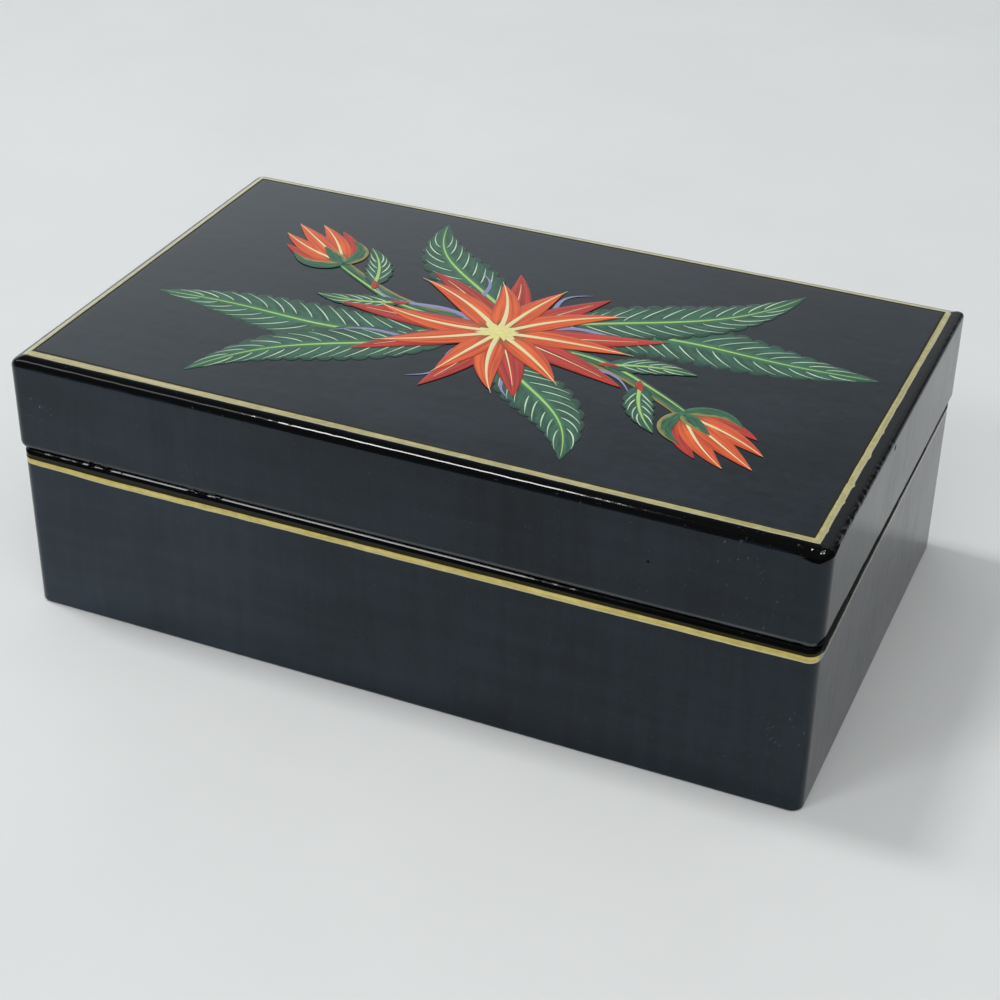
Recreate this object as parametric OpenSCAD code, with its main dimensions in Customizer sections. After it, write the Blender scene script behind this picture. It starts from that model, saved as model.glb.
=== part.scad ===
// Oblong lacquered wooden trinket box with a lift-off lid.
// Each half is a frame of four mitred boards with a panel glued over it, rounded and lacquered.
// A liner of four strips stands above the base's rim, and the lid drops over it.
// The origin is under the middle of the box, +X runs along the front and +Y to the back.

/* [Lid] */
// Length of the lid, along the front
lid_l = 200; // [150:1:260]
// Width of the lid, front to back
lid_w = 121; // [90:1:150]
// Height of the closed lid above the base's rim
lid_h = 24.25; // [16:0.25:40]
// Thickness of the lid's top panel
lid_top_t = 4.5; // [3.5:0.25:7]
// Rounding of the lid's top edge
lid_top_r = 2.5; // [0.8:0.1:2.5]
// Rounding of the lid's lower edge
lid_foot_r = 2.2; // [0.8:0.1:2.5]

/* [Base] */
// Height of the base's rim above the ground
base_h = 44.75; // [30:0.25:80]
// Thickness of the base's boards
base_wall_t = 5.5; // [4.5:0.25:9]
// Thickness of the bottom panel
bottom_t = 4; // [3:0.25:8]
// How far the base stands in from the lid, on each side
base_inset = 0.6; // [0.3:0.1:1.5]
// Rounding of the base's rim
rim_r = 1.2; // [0.8:0.1:2.4]
// Rounding of the bottom edge
base_foot_r = 0.9; // [0.4:0.1:2.2]

/* [Corners] */
// Rounding of the upright corners
corner_r = 2.8; // [2.5:0.1:4.5]

/* [Liner] */
// Thickness of the liner strips
liner_t = 3; // [2:0.25:4.5]
// How far the liner stands above the rim
liner_rise = 7; // [3:0.5:10]
// Rounding of the liner's upper outer edge
liner_r = 1; // [0.5:0.1:1.8]
// Gap between the liner and the lid's boards
lid_gap = 0.3; // [0.2:0.05:0.8]

/* [Hidden] */

$fn = 64;
overrun = 1;

outer_lacquer = "#23282d";
top_lacquer = "#3a3e42";
inner_lacquer = "#15171a";

// The four sides, as turns about +Z from the front
quarter_turn = 90;
front_turn = 0;
right_turn = quarter_turn;
back_turn = 2 * quarter_turn;
left_turn = 3 * quarter_turn;

base_l = lid_l - 2 * base_inset;
base_w = lid_w - 2 * base_inset;

// The liner fills the base's inside, and the lid's boards clear it by lid_gap
liner_l = base_l - 2 * base_wall_t;
liner_w = base_w - 2 * base_wall_t;
liner_h = base_h + liner_rise - bottom_t;
lid_wall_t = base_inset + base_wall_t - lid_gap;

base_wall_h = base_h - bottom_t;
lid_wall_h = lid_h - lid_top_t;

// Lengths along and across a frame, as seen from one of its sides
function run_of(turn, l, w) = turn % back_turn == 0 ? l : w;
function reach_of(turn, l, w) = turn % back_turn == 0 ? w : l;

// What a rounding of radius r takes off an outside corner
module rounding_waste(r) {
    difference() {
        square(r + overrun);
        circle(r);
    }
}

// Section through an outside edge, from the upright corner's centre out to the face
module edge_section(h, low_r, high_r) {
    difference() {
        square([corner_r, h]);
        if (high_r > 0)
            translate([corner_r - high_r, h - high_r])
                rounding_waste(high_r);
        if (low_r > 0)
            translate([corner_r - low_r, low_r])
                mirror([0, 1, 0])
                    rounding_waste(low_r);
    }
}

// Block with round upright corners, whose lower and upper roundings run on round them
module rounded_block(l, w, h, low_r, high_r) {
    core_l = l - 2 * corner_r;
    core_w = w - 2 * corner_r;
    translate([-core_l / 2, -core_w / 2, 0])
        cube([core_l, core_w, h]);
    for (turn = [front_turn:quarter_turn:left_turn])
        rotate([0, 0, turn])
            translate([0, -reach_of(turn, core_l, core_w) / 2, 0]) {
                straight_edge(run_of(turn, core_l, core_w), h, low_r, high_r);
                translate([run_of(turn, core_l, core_w) / 2, 0, 0])
                    round_corner(h, low_r, high_r);
            }
}

module straight_edge(run, h, low_r, high_r) {
    translate([-run / 2, 0, 0])
        rotate([quarter_turn, 0, quarter_turn])
            linear_extrude(run)
                mirror([1, 0, 0])
                    edge_section(h, low_r, high_r);
}

module round_corner(h, low_r, high_r) {
    rotate([0, 0, -quarter_turn])
        rotate_extrude(angle = quarter_turn)
            edge_section(h, low_r, high_r);
}

// The quarter of a frame that belongs to one side, between its two mitres
module mitred_quarter(turn, l, w, t, h) {
    run = run_of(turn, l, w);
    depth = t + overrun;
    rotate([0, 0, turn])
        translate([0, -reach_of(turn, l, w) / 2, -overrun])
            linear_extrude(h + 2 * overrun)
                polygon([
                    [-run / 2 - overrun, -overrun],
                    [run / 2 + overrun, -overrun],
                    [run / 2 - depth, depth],
                    [-run / 2 + depth, depth]
                ]);
}

// One board of a frame with outside size l by w, cut from the rounded block
module frame_board(turn, l, w, t, h, low_r, high_r) {
    intersection() {
        difference() {
            rounded_block(l, w, h, low_r, high_r);
            translate([-l / 2 + t, -w / 2 + t, -overrun])
                cube([l - 2 * t, w - 2 * t, h + 2 * overrun]);
        }
        mitred_quarter(turn, l, w, t, h);
    }
}

// Section of a strip across its width, upright, with its two upper corners rounded
module eased_section(across, h) {
    difference() {
        translate([-across / 2, 0])
            square([across, h]);
        for (hand = [0, 1])
            mirror([hand, 0, 0])
                translate([across / 2 - liner_r, h - liner_r])
                    rounding_waste(liner_r);
    }
}

// The liner as one ring, square at its corners and eased along its upper outer edge
module liner_ring() {
    difference() {
        intersection() {
            translate([-liner_l / 2, 0, 0])
                rotate([quarter_turn, 0, quarter_turn])
                    linear_extrude(liner_l)
                        eased_section(liner_w, liner_h);
            translate([0, liner_w / 2, 0])
                rotate([quarter_turn, 0, 0])
                    linear_extrude(liner_w)
                        eased_section(liner_l, liner_h);
        }
        translate([-liner_l / 2 + liner_t, -liner_w / 2 + liner_t, -overrun])
            cube([liner_l - 2 * liner_t, liner_w - 2 * liner_t, liner_h + 2 * overrun]);
    }
}

module liner_strip(turn) {
    color(inner_lacquer)
        translate([0, 0, bottom_t])
            intersection() {
                liner_ring();
                mitred_quarter(turn, liner_l, liner_w, liner_t, liner_h);
            }
}

module base_wall(turn) {
    color(outer_lacquer)
        translate([0, 0, bottom_t])
            frame_board(turn, base_l, base_w, base_wall_t, base_wall_h, 0, rim_r);
}

module lid_wall(turn) {
    color(outer_lacquer)
        translate([0, 0, base_h])
            frame_board(turn, lid_l, lid_w, lid_wall_t, lid_wall_h, lid_foot_r, 0);
}

// Bottom panel, glued up under the four boards
module base_bottom() {
    color(inner_lacquer)
        rounded_block(base_l, base_w, bottom_t, base_foot_r, 0);
}

module base_front_wall() base_wall(front_turn);
module base_right_wall() base_wall(right_turn);
module base_back_wall() base_wall(back_turn);
module base_left_wall() base_wall(left_turn);

module liner_front() liner_strip(front_turn);
module liner_right() liner_strip(right_turn);
module liner_back() liner_strip(back_turn);
module liner_left() liner_strip(left_turn);

// Top panel, glued down over the lid's four boards
module lid_top() {
    color(top_lacquer)
        translate([0, 0, base_h + lid_wall_h])
            rounded_block(lid_l, lid_w, lid_top_t, 0, lid_top_r);
}

module lid_front_wall() lid_wall(front_turn);
module lid_right_wall() lid_wall(right_turn);
module lid_back_wall() lid_wall(back_turn);
module lid_left_wall() lid_wall(left_turn);

base_bottom();
base_front_wall();
base_right_wall();
base_back_wall();
base_left_wall();
liner_front();
liner_right();
liner_back();
liner_left();
lid_top();
lid_front_wall();
lid_right_wall();
lid_back_wall();
lid_left_wall();
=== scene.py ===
import math
import random

import bmesh
import bpy
from mathutils import Matrix, Vector, noise


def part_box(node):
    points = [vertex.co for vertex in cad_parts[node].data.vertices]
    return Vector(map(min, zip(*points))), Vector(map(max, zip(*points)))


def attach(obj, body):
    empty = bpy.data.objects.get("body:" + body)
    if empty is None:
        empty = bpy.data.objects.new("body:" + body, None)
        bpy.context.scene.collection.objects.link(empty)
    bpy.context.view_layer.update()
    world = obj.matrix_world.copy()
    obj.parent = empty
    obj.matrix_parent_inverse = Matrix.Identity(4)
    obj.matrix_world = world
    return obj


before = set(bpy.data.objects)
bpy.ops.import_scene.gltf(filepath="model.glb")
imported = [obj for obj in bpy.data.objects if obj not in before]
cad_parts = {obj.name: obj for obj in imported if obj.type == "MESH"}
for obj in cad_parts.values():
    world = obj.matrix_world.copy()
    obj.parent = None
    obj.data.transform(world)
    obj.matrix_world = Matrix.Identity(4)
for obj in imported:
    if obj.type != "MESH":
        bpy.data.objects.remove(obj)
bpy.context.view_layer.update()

# Boards, panels and liner.
# Mitred wooden boards with a panel glued over each frame, and a liner of thin strips inside the base.
# Their inner faces have one brushed coat of satin black, through which the grain shows a little.
MM = 0.001


def new_material(name):
    """A material with only a Principled shader on its output."""
    material = bpy.data.materials.new(name)
    material.use_nodes = True
    tree = material.node_tree
    tree.nodes.clear()
    output = tree.nodes.new("ShaderNodeOutputMaterial")
    shader = tree.nodes.new("ShaderNodeBsdfPrincipled")
    tree.links.new(shader.outputs["BSDF"], output.inputs["Surface"])
    return material, tree, shader


def new_group(name, inputs, outputs):
    """A shader node group. Each input is (name, kind, value), and each output is a float."""
    group = bpy.data.node_groups.new(name, "ShaderNodeTree")
    for label, kind, value in inputs:
        socket = group.interface.new_socket(label, in_out="INPUT", socket_type=kind)
        socket.default_value = value
    for label in outputs:
        group.interface.new_socket(label, in_out="OUTPUT", socket_type="NodeSocketFloat")
    return group, group.nodes.new("NodeGroupInput"), group.nodes.new("NodeGroupOutput")


def place_group(tree, group, **values):
    """Puts a group in a tree and sets its named inputs."""
    node = tree.nodes.new("ShaderNodeGroup")
    node.node_tree = group
    for label, value in values.items():
        node.inputs[label].default_value = value
    return node


def feed(tree, slot, value):
    """Links a socket to a slot, or sets the slot to a number or a colour."""
    if isinstance(value, bpy.types.NodeSocket):
        tree.links.new(value, slot)
    elif isinstance(value, (int, float)):
        slot.default_value = value
    else:
        slot.default_value = (*value, 1.0)


def sums(tree, operation, first, second=0.0, clamp=False):
    """A Math node over sockets or numbers. Gives its output socket."""
    node = tree.nodes.new("ShaderNodeMath")
    node.operation = operation
    node.use_clamp = clamp
    feed(tree, node.inputs[0], first)
    feed(tree, node.inputs[1], second)
    return node.outputs[0]


def blended(tree, share, first, second):
    """A colour Mix node over sockets or colours. Gives its output socket."""
    node = tree.nodes.new("ShaderNodeMix")
    node.data_type = "RGBA"
    feed(tree, node.inputs[0], share)
    feed(tree, node.inputs[6], first)
    feed(tree, node.inputs[7], second)
    return node.outputs[2]


def spread(tree, value, low, high, to_low=0.0, to_high=1.0):
    """Maps a value from low..high to to_low..to_high, held at its ends."""
    node = tree.nodes.new("ShaderNodeMapRange")
    tree.links.new(value, node.inputs["Value"])
    node.inputs["From Min"].default_value = low
    node.inputs["From Max"].default_value = high
    node.inputs["To Min"].default_value = to_low
    node.inputs["To Max"].default_value = to_high
    return node.outputs["Result"]


def grain(tree, vector, scale, detail=3.0, roughness=0.55, stretch=(1, 1, 1)):
    """Noise over a vector socket, scaled per metre and stretched along the axes."""
    mapping = tree.nodes.new("ShaderNodeMapping")
    mapping.inputs["Scale"].default_value = stretch
    tree.links.new(vector, mapping.inputs["Vector"])
    texture = tree.nodes.new("ShaderNodeTexNoise")
    texture.inputs["Scale"].default_value = scale
    texture.inputs["Detail"].default_value = detail
    texture.inputs["Roughness"].default_value = roughness
    tree.links.new(mapping.outputs["Vector"], texture.inputs["Vector"])
    return texture.outputs["Fac"]


def box_place(tree):
    """The place on the box, in metres."""
    return tree.nodes.new("ShaderNodeTexCoord").outputs["Object"]


def bump(tree, height, distance):
    """A Bump node over a height socket. Gives its normal socket."""
    node = tree.nodes.new("ShaderNodeBump")
    node.inputs["Distance"].default_value = distance
    tree.links.new(height, node.inputs["Height"])
    return node.outputs["Normal"]


def build_film_group():
    """Brushed lacquer: marks of the brush along X and up the sides, cloudy gloss and a soft orange peel."""
    group, given, out = new_group(
        "brushed_film",
        [("Streaks", "NodeSocketFloat", 0.5), ("Clouds", "NodeSocketFloat", 0.5)],
        ["Tone", "Dullness", "Height"],
    )
    place = box_place(group)
    long_marks = grain(group, place, 240, 3, 0.55, (0.10, 1, 1))
    tall_marks = grain(group, place, 300, 3, 0.6, (1, 1, 0.09))
    clouds = grain(group, place, 30, 3, 0.5)
    peel = grain(group, place, 380, 1, 0.4)
    marks = sums(group, "MULTIPLY", sums(group, "ADD", long_marks, tall_marks), 0.5)
    streaks = sums(group, "MULTIPLY", sums(group, "SUBTRACT", marks, 0.5), given.outputs["Streaks"])
    cloudy = sums(group, "MULTIPLY", sums(group, "SUBTRACT", clouds, 0.5), given.outputs["Clouds"])
    group.links.new(sums(group, "ADD", streaks, cloudy), out.inputs["Tone"])
    dull_streaks = sums(group, "MULTIPLY", streaks, 0.6)
    group.links.new(sums(group, "ADD", cloudy, dull_streaks), out.inputs["Dullness"])
    low_marks = sums(group, "MULTIPLY", marks, 0.5)
    low_peel = sums(group, "MULTIPLY", peel, 0.35)
    group.links.new(sums(group, "ADD", low_marks, low_peel), out.inputs["Height"])
    return group


brushed_film = build_film_group()

satin_black, tree, shader = new_material("satin_black_inside")
film = place_group(tree, brushed_film, Streaks=1.6, Clouds=0.5)
shade = spread(tree, film.outputs["Tone"], -0.35, 0.35)
feed(tree, shader.inputs["Base Color"], blended(tree, shade, (0.006, 0.006, 0.007), (0.026, 0.025, 0.024)))
feed(tree, shader.inputs["Roughness"], spread(tree, film.outputs["Dullness"], -0.3, 0.3, 0.34, 0.56))
feed(tree, shader.inputs["Normal"], bump(tree, film.outputs["Height"], 0.00006))
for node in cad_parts.values():
    node.data.materials.clear()
    node.data.materials.append(satin_black)

# Lacquer coat of the base.
# Many thin coats of black lacquer brushed over the four boards, so no joint shows outside.
# It gathers into a glossy bead along the rim, rubbed to a narrow flat, and thins out where the lid sits.
CORNER_R = 2.8 * MM
RIM_R = 1.2 * MM
BASE_FOOT_R = 0.9 * MM
COAT = 0.12 * MM
COAT_INSIDE = 0.6 * MM
BEAD_SWELL = 0.07 * MM
STATION_STEP = 0.6 * MM
CORNER_TURNS = 10
# Painted shade on the base: pooled and darker from the first heights up, and matt black between the next two.
RIM_POOL_AND_SHADE = (41.5 * MM, 41.8 * MM)
RIM_SHADE_MATT = (43.1 * MM, 44.2 * MM)
RIM_FLAT, RIM_FLAT_HALF = math.radians(40), math.radians(11)
SEAM_CORNER = (97.6 * MM, 100 * MM)
SEAM_START = 41.35 * MM

# Where the coat dried in lumps, how high they stand and how far they reach
LUMPS = [
    (Vector((99, -54, 69)) * MM, 0.18 * MM, 11 * MM),
    (Vector((99, -42, 69)) * MM, 0.20 * MM, 11 * MM),
    (Vector((99, -30, 69)) * MM, 0.14 * MM, 11 * MM),
    (Vector((99, -16, 69)) * MM, 0.09 * MM, 11 * MM),
    (Vector((99, 46, 69)) * MM, 0.08 * MM, 11 * MM),
    (Vector((90, -60, 68)) * MM, 0.04 * MM, 11 * MM),
    (Vector((-77, -60, 44)) * MM, 0.30 * MM, 6 * MM),
    (Vector((-49, -60, 44)) * MM, 0.30 * MM, 6 * MM),
    (Vector((97, -58, 44)) * MM, 0.12 * MM, 8 * MM),
]

bottom_low, bottom_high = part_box("base_bottom")
base_length, base_width = bottom_high.x - bottom_low.x, bottom_high.y - bottom_low.y
rim_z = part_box("base_front_wall")[1].z


def ease(value, low, high):
    """0 below low, 1 above high and smooth between."""
    share = max(0.0, min(1.0, (value - low) / (high - low)))
    return share * share * (3 - 2 * share)


def stations_round(length, width, step=STATION_STEP):
    """Stations round an oblong with round corners: where each way out starts, and its heading."""
    along, across = length / 2 - CORNER_R, width / 2 - CORNER_R
    corners = [(-along, -across), (along, -across), (along, across), (-along, across)]
    corners = [Vector(corner) for corner in corners]
    stations = []
    for side in range(4):
        start, end = corners[side], corners[(side + 1) % 4]
        heading = math.radians(-90 + 90 * side)
        count = round((end - start).length / step)
        stations += [(start.lerp(end, i / count), heading) for i in range(count)]
        stations += [(end, heading + math.pi / 2 * j / CORNER_TURNS) for j in range(CORNER_TURNS)]
    return stations


def film_depth(place, swell):
    """How thick the coat is: even on the flats, swollen and rippled in the beads, lumpy in patches."""
    depth = COAT + 0.012 * MM * noise.noise(place / (16 * MM))
    if not swell:
        return depth
    ripple = 0.6 * noise.noise(place / (6 * MM)) + 0.4 * noise.noise(place / (1.8 * MM))
    depth += swell * BEAD_SWELL * (1 + 0.7 * ripple)
    for centre, height, reach in LUMPS:
        near = max(0.0, 1 - (place - centre).length / reach)
        if near:
            upper = ease(place.z - centre.z, -0.9 * MM, -0.2 * MM)
            lump = height * upper * noise.turbulence(place / (1.1 * MM), 2, False)
            depth += min(1.0, 2 * near) * math.sqrt(swell) * lump
    return depth


def coat_shell(name, length, width, section_at, finish_at, filled):
    """A closed shell round an oblong, from its section at a heading.

    Each row of a section is (inset, height, out, up, swell, share of coat), and a row without a share stays
    where it is. finish_at gives how pooled, matt and worn the lacquer is at a place, where pooled and matt
    also paint shade and worn also paints a reflection, and the matt faces take the second material. filled
    closes the two ends of the section across the middle.
    """
    mesh = bmesh.new()
    finishes = [mesh.verts.layers.float.new(label) for label in ("pooled_and_shade", "matt", "worn_and_sheen")]
    half_l, half_w = length / 2, width / 2
    rings = []
    for foot, heading in stations_round(length, width):
        way = Vector((math.cos(heading), math.sin(heading)))
        ring = []
        for k, (inset, z, out, up, swell, share) in enumerate(section_at(heading)):
            flat = foot + way * (CORNER_R - inset)
            flat.x = max(inset - half_l, min(half_l - inset, flat.x))
            flat.y = max(inset - half_w, min(half_w - inset, flat.y))
            place = Vector((*flat, z))
            if share:
                depth = share * film_depth(place, swell)
                place += Vector((*(way * out), up)) * depth
            near = [other[k] for other in (rings[-1:] + rings[:1]) if (other[k].co - place).length < 1e-7]
            vert = near[0] if near else mesh.verts.new(place)
            for layer, value in zip(finishes, finish_at(place, inset, heading)):
                vert[layer] = value
            ring.append(vert)
        rings.append(ring)
    for here, there in zip(rings, rings[1:] + rings[:1]):
        for k in range(len(here) - (1 if filled else 0)):
            after = (k + 1) % len(here)
            corners = list(dict.fromkeys((here[k], there[k], there[after], here[after])))
            if len(corners) > 2:
                face = mesh.faces.new(corners)
                matt = sum(corner[finishes[1]] for corner in corners) / len(corners)
                face.material_index = 1 if matt > 0.5 else 0
    if filled:
        mesh.faces.new(list(dict.fromkeys(ring[-1] for ring in rings)))
        mesh.faces.new(list(dict.fromkeys(ring[0] for ring in rings)))
    return shown(name, mesh)


def shown(name, mesh):
    """Makes a smooth-shaded object from a bmesh and links it."""
    bmesh.ops.recalc_face_normals(mesh, faces=mesh.faces)
    data = bpy.data.meshes.new(name)
    for face in mesh.faces:
        face.smooth = True
    mesh.to_mesh(data)
    mesh.free()
    piece = bpy.data.objects.new(name, data)
    bpy.context.scene.collection.objects.link(piece)
    return piece


def rounding(z, radius, start, end, thin_end, steps=8):
    """Rows of a rounding centred radius in from the face, between two angles.

    The coat fades at its thin end.
    """
    rows = []
    for i in range(steps + 1):
        angle = math.radians(start + (end - start) * i / steps)
        out, up = math.cos(angle), math.sin(angle)
        covered = i / steps if thin_end == "first" else 1 - i / steps
        share = min(1.0, 2 * covered)
        rows.append((radius * (1 - out), z + radius * up, out, up, abs(math.sin(2 * angle)), share))
    return rows


def side_rows(low, high, count, swell=0.0):
    """Rows up a flat side, without its ends. swell is reached at the upper end."""
    step = (high - low) / count
    return [(0.0, low + step * i, 1.0, 0.0, swell * i / count, 1.0) for i in range(1, count)]


def seam_share(place):
    """How far the right seam is open, from 1 at the front to 0 at the back, and 0 on the other sides."""
    return ease(place.x, *SEAM_CORNER) * (0.15 + 0.85 * ease(-place.y, -70 * MM, 60 * MM))


def seam_climb(y):
    """How far the seam's lower side climbs along the right of the base, from nothing at the front."""
    return 1.30 * MM * ease(y, -62 * MM, -18 * MM) + 0.45 * MM * ease(y, -18 * MM, 50 * MM)


def base_finish(place, inset, heading):
    """Painted shade: pooled and darker from the gold line up, matt black under the rim and in the right seam.
    """
    pooled_and_shade = ease(place.z, *RIM_POOL_AND_SHADE)
    if seam_share(place) > 0.1:
        return pooled_and_shade, float(place.z > SEAM_START + seam_climb(place.y)), 0.0
    return pooled_and_shade, float(RIM_SHADE_MATT[0] < place.z < RIM_SHADE_MATT[1]), 0.0


rim_rows = rounding(rim_z - RIM_R, RIM_R, 0, 90, "last", 30)
for k, (inset, z, out, up, swell, share) in enumerate(rim_rows):
    away = abs(math.atan2(up, out) - RIM_FLAT)
    if away < RIM_FLAT_HALF:
        depth = (RIM_R + COAT) * math.cos(RIM_FLAT_HALF) / math.cos(away) - RIM_R
        rim_rows[k] = (inset, z, out, up, swell, depth / (COAT + BEAD_SWELL * swell))

base_section = (
    rounding(BASE_FOOT_R, BASE_FOOT_R, -90, 0, "first", 5)
    + side_rows(BASE_FOOT_R, RIM_POOL_AND_SHADE[0] - 1 * MM, 16)
    + side_rows(RIM_POOL_AND_SHADE[0] - 1 * MM, rim_z - RIM_R, 12)
    + rim_rows
    + [(RIM_R, rim_z - COAT_INSIDE, 0, 0, 0, None), (RIM_R, BASE_FOOT_R, 0, 0, 0, None)]
)
base_coat = coat_shell("base_lacquer_coat", base_length, base_width, lambda heading: base_section,
                       base_finish, filled=False)
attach(base_coat, "base")


def build_scuff_group():
    """Fine pale scratches and specks inside a ball round a place. The scratches slant down to the right."""
    group, given, out = new_group(
        "scuffs",
        [
            ("Centre", "NodeSocketVector", (0, 0, 0)),
            ("Reach", "NodeSocketFloat", 0.01),
            ("Scratches", "NodeSocketFloat", 0.5),
            ("Specks", "NodeSocketFloat", 0.5),
        ],
        ["Mask"],
    )
    place = box_place(group)
    apart = group.nodes.new("ShaderNodeVectorMath")
    apart.operation = "DISTANCE"
    group.links.new(place, apart.inputs[0])
    group.links.new(given.outputs["Centre"], apart.inputs[1])
    outward = sums(group, "DIVIDE", apart.outputs["Value"], given.outputs["Reach"])
    inside = sums(group, "SUBTRACT", 1.0, outward, True)
    tilted = group.nodes.new("ShaderNodeVectorRotate")
    tilted.rotation_type = "Y_AXIS"
    tilted.inputs["Angle"].default_value = math.radians(58)
    group.links.new(place, tilted.inputs["Vector"])
    scratches = grain(group, tilted.outputs["Vector"], 1500, 2, 0.5, (0.35, 0.35, 1))
    scratches = spread(group, scratches, 0.66, 0.78)
    specks = spread(group, grain(group, place, 1300, 1, 0.5), 0.72, 0.80)
    scratches = sums(group, "MULTIPLY", scratches, given.outputs["Scratches"])
    specks = sums(group, "MULTIPLY", specks, given.outputs["Specks"])
    marks = sums(group, "MULTIPLY", sums(group, "MAXIMUM", scratches, specks), inside)
    group.links.new(marks, out.inputs["Mask"])
    return group


scuffs = build_scuff_group()

# Places that are worn by handling: the middle, the reach, and how strong the scratches and the specks are
SCUFF_PLACES = [
    ((-0.0930, -0.0605, 0.0580), 0.0075, 1.1, 1.2),
    ((0.0800, -0.0605, 0.0640), 0.0110, 0.9, 0.30),
    ((0.0840, -0.0605, 0.0540), 0.0120, 0.8, 0.25),
    ((0.0950, -0.0600, 0.0210), 0.0090, 0.8, 0.40),
    ((0.0990, 0.0190, 0.0290), 0.0200, 1.0, 0.90),
    ((0.0000, 0.0000, 0.0400), 0.4000, 0.0, 0.32),
]

# Dark pits in the coat: the middle and the radius
PITS = [
    ((0.1001, -0.0090, 0.0670), 0.0008),
    ((0.0990, 0.0310, 0.0330), 0.0005),
    ((0.0610, -0.0606, 0.0570), 0.0004),
]

black_lacquer, tree, shader = new_material("black_lacquer")
film = place_group(tree, brushed_film, Streaks=1.3, Clouds=0.9)
finish = {}
for label in ("pooled_and_shade", "worn_and_sheen"):
    node = tree.nodes.new("ShaderNodeAttribute")
    node.attribute_name = label
    finish[label] = node.outputs["Fac"]
place = tree.nodes.new("ShaderNodeSeparateXYZ")
feed(tree, place.inputs["Vector"], box_place(tree))
# Painted reflection: the sides, not the top, are lighter and bluer towards the left and towards the bottom,
# where the floor's reflection falls.
painted_reflection_left = spread(tree, place.outputs["X"], 0.03, -0.10)
painted_reflection_low = spread(tree, place.outputs["Z"], 0.045, 0.0, 0.55, 1.0)
side_only = spread(tree, place.outputs["Z"], 0.0690, 0.0685)
painted_reflection = sums(tree, "MULTIPLY", sums(tree, "MULTIPLY", painted_reflection_left, painted_reflection_low), side_only)
tone = spread(tree, film.outputs["Tone"], -0.25, 0.25)
flat_colour = blended(tree, tone, (0.0006, 0.0040, 0.0080), (0.0060, 0.0140, 0.0230))
painted_reflection_colour = blended(tree, tone, (0.0120, 0.0230, 0.0370), (0.0220, 0.0360, 0.0530))
flat_colour = blended(tree, painted_reflection, flat_colour, painted_reflection_colour)
# Pooled lacquer is painted almost black: deep lacquer round the lid's top, and painted shade under the lid's
# lower edge and above the base's gold line.
colour = blended(tree, finish["pooled_and_shade"], flat_colour, (0.0010, 0.0010, 0.0012))
# The worn line is painted pale grey just above the lid's lower edge: partly wear, partly painted reflection.
colour = blended(tree, finish["worn_and_sheen"], colour, (0.085, 0.092, 0.098))
marks = None
for centre, reach, scratches, specks in SCUFF_PLACES:
    mark = place_group(tree, scuffs, Centre=centre, Reach=reach, Scratches=scratches, Specks=specks)
    mark = mark.outputs["Mask"]
    marks = mark if marks is None else sums(tree, "MAXIMUM", marks, mark)
marks = sums(tree, "MINIMUM", marks, 1.0)
colour = blended(tree, marks, colour, (0.13, 0.14, 0.15))
pitted = None
for centre, radius in PITS:
    apart = tree.nodes.new("ShaderNodeVectorMath")
    apart.operation = "DISTANCE"
    feed(tree, apart.inputs[0], box_place(tree))
    apart.inputs[1].default_value = centre
    pit = spread(tree, apart.outputs["Value"], radius, 0.7 * radius)
    pitted = pit if pitted is None else sums(tree, "MAXIMUM", pitted, pit)
feed(tree, shader.inputs["Base Color"], blended(tree, pitted, colour, (0.001, 0.001, 0.001)))
dull = spread(tree, film.outputs["Dullness"], -0.25, 0.25, 0.09, 0.23)
dull = sums(tree, "MULTIPLY", dull, spread(tree, finish["pooled_and_shade"], 0.0, 1.0, 1.0, 0.45))
dull = sums(tree, "ADD", dull, sums(tree, "MULTIPLY", finish["worn_and_sheen"], 0.30))
dull = sums(tree, "ADD", dull, sums(tree, "MULTIPLY", pitted, 0.85))
feed(tree, shader.inputs["Roughness"], sums(tree, "MINIMUM", dull, 1.0))
shader.inputs["IOR"].default_value = 1.37
feed(tree, shader.inputs["Normal"], bump(tree, film.outputs["Height"], 0.00004))
base_coat.data.materials.append(black_lacquer)

# Matt, almost black lacquer that hardly reflects: painted shade in the seam and under the rim, and the
# lacquer that ran down at the lid's front right corner.
matt_lacquer_and_shade, tree, shader = new_material("matt_black_lacquer_and_shade")
film = place_group(tree, brushed_film, Streaks=1.3, Clouds=0.9)
tone = spread(tree, film.outputs["Tone"], -0.25, 0.25)
matt_and_shade_black = blended(tree, tone, (0.0010, 0.0010, 0.0012), (0.0030, 0.0030, 0.0035))
feed(tree, shader.inputs["Base Color"], matt_and_shade_black)
feed(tree, shader.inputs["Roughness"], spread(tree, film.outputs["Dullness"], -0.25, 0.25, 0.45, 0.70))
feed(tree, shader.inputs["Normal"], bump(tree, film.outputs["Height"], 0.00004))
shader.inputs["IOR"].default_value = 1.07
base_coat.data.materials.append(matt_lacquer_and_shade)

# Lacquer coat of the lid.
# The same coat over the lid's panel and boards, run into a thick bead round the top and the lower edge.
# The bead is tighter on the right, and there and at the front right corner it dried in lumps.
LID_FOOT_R = 2.2 * MM
LID_FILM = 0.28 * MM
EDGE_RUN, EDGE_DROP = 3.95 * MM, 2.2 * MM
RIGHT_RUN, RIGHT_DROP = 1.5 * MM, 0.85 * MM
EDGE_STEPS = 18
EDGE_BEAD_ENDS = 72
# Painted shade under the lid's lower edge: pooled and darker, and matt black in the right seam up to the
# given heights.
FOOT_POOL_AND_SHADE = (45.6 * MM, 46.0 * MM)
# A pale worn line just above the lid's lower edge, partly painted reflection.
WORN_SHEEN_RISE = (45.95 * MM, 46.2 * MM)
WORN_SHEEN_FALL = (46.3 * MM, 46.8 * MM)
SEAM_SHADE_MATT = 45.0 * MM
SEAM_SHADE_CLIMB = 2.6 * MM
CORNER_RUN_DOWN = 1.3 * MM
TOP_MIDDLE = 30 * MM

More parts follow.
